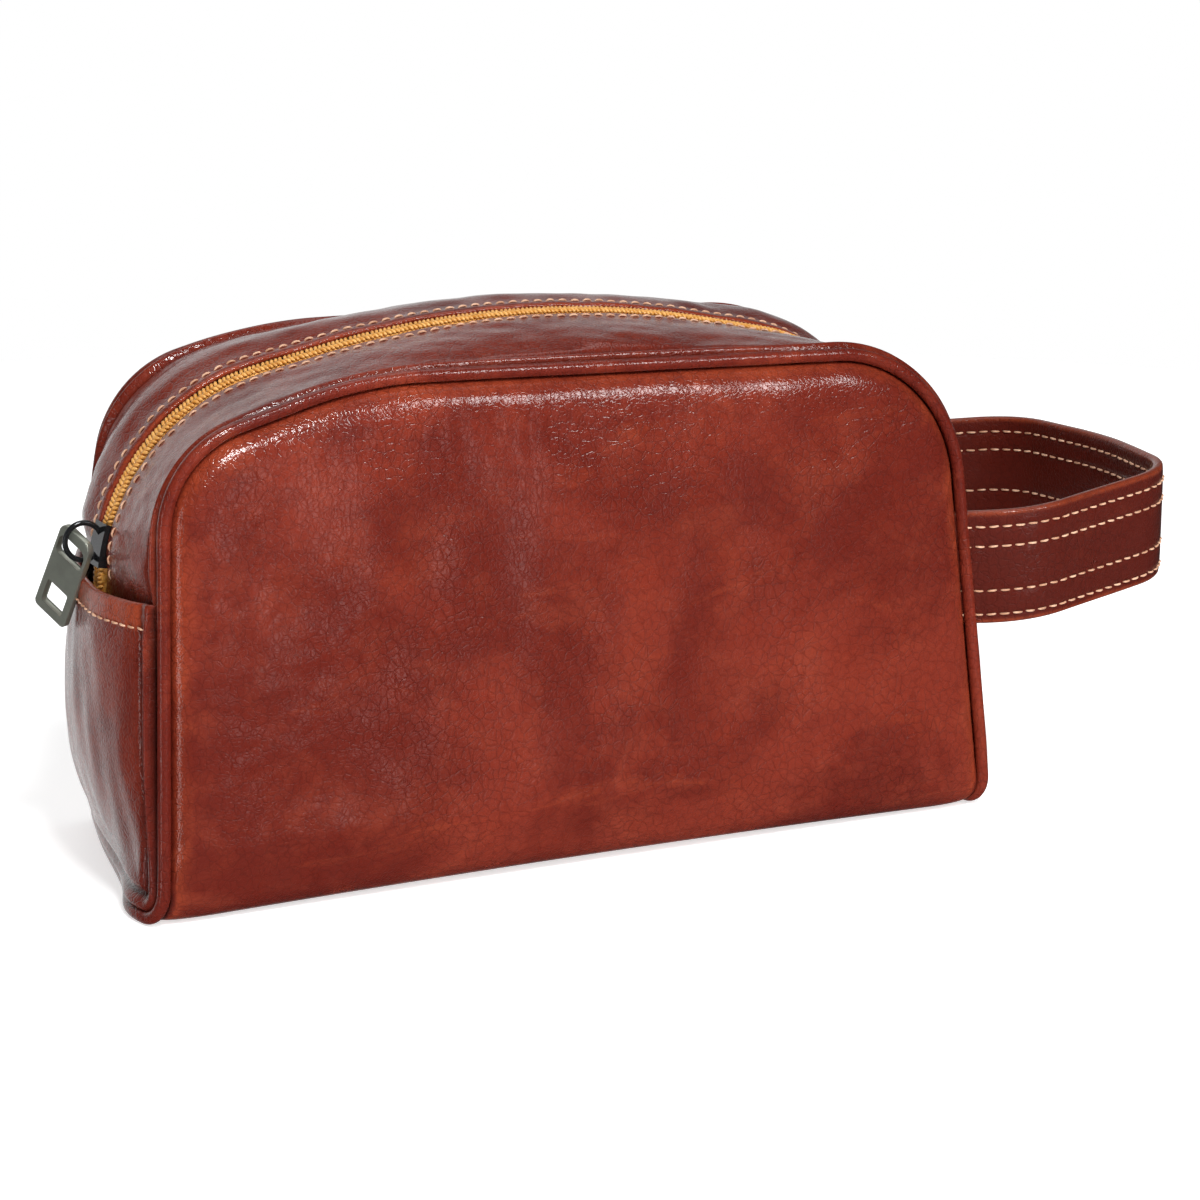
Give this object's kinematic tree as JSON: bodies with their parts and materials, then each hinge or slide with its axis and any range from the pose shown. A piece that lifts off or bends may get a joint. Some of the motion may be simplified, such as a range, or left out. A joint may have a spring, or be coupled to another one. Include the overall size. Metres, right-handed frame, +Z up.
{
  "type": "shaving kit bag",
  "caption": "Leather shaving kit bag with one-piece body, bulged side gussets, arched zip top with slider and puller, and a side strap loop.",
  "frame": {"origin": "centre of the base, on the surface that the bag stands on", "axes": "+X along the width towards the strap loop, -Y towards the front wall, +Z up"},
  "size_m": [0.3399, 0.1076, 0.1467],
  "materials": {
    "body_leather": "glossy pull-up",
    "piping_leather": "glossy",
    "strap_leather": "glossy pull-up",
    "lining_cloth": "plain weave",
    "zip_textile": "woven tape",
    "zip_coil": "satin",
    "gunmetal": "black nickel",
    "cord": "twisted",
    "board": "matt"
  },
  "bodies": {
    "bag": {"body_panel": "body_leather", "gusset_left": "body_leather", "gusset_right": "body_leather", "zip_strip_front": "body_leather", "zip_strip_back": "body_leather", "piping_cover": "piping_leather", "piping_cord": "cord", "zip_tape_front": "zip_textile", "zip_tape_back": "zip_textile", "zip_coil_front": "zip_coil", "zip_coil_back": "zip_coil", "zip_end_stop": "gunmetal", "zip_top_stops": "gunmetal", "strap_ends_outer": "strap_leather", "strap_ends_inner": "strap_leather", "base_board": "board", "lining_body": "lining_cloth", "lining_top_front": "lining_cloth", "lining_top_back": "lining_cloth", "gusset_lining_left": "lining_cloth", "gusset_lining_right": "lining_cloth"},
    "slider": {"slider_body": "gunmetal", "slider_bail": "gunmetal"},
    "puller": {"puller": "gunmetal"},
    "strap": {"strap_outer": "strap_leather", "strap_inner": "strap_leather"}
  },
  "joints": [
    {"name": "zip_slider_travel", "type": "hinge", "parent": "bag", "child": "slider", "pos_m": [-0.0645, 0, 0.078], "axis": [0, 1, 0], "range_deg": [0, 60]},
    {"name": "puller_swing", "type": "hinge", "parent": "slider", "child": "puller", "pos_m": [-0.12863, 0, 0.0934], "axis": [-0.3852, 0.7795, 0.494], "range_deg": [0, 130]},
    {"name": "strap_tilt", "type": "hinge", "parent": "bag", "child": "strap", "pos_m": [0.1228, 0, 0.0703], "axis": [0, -1, 0], "range_deg": [-18, 22], "stiffness_Nm_per_rad": 0.8}
  ]
}
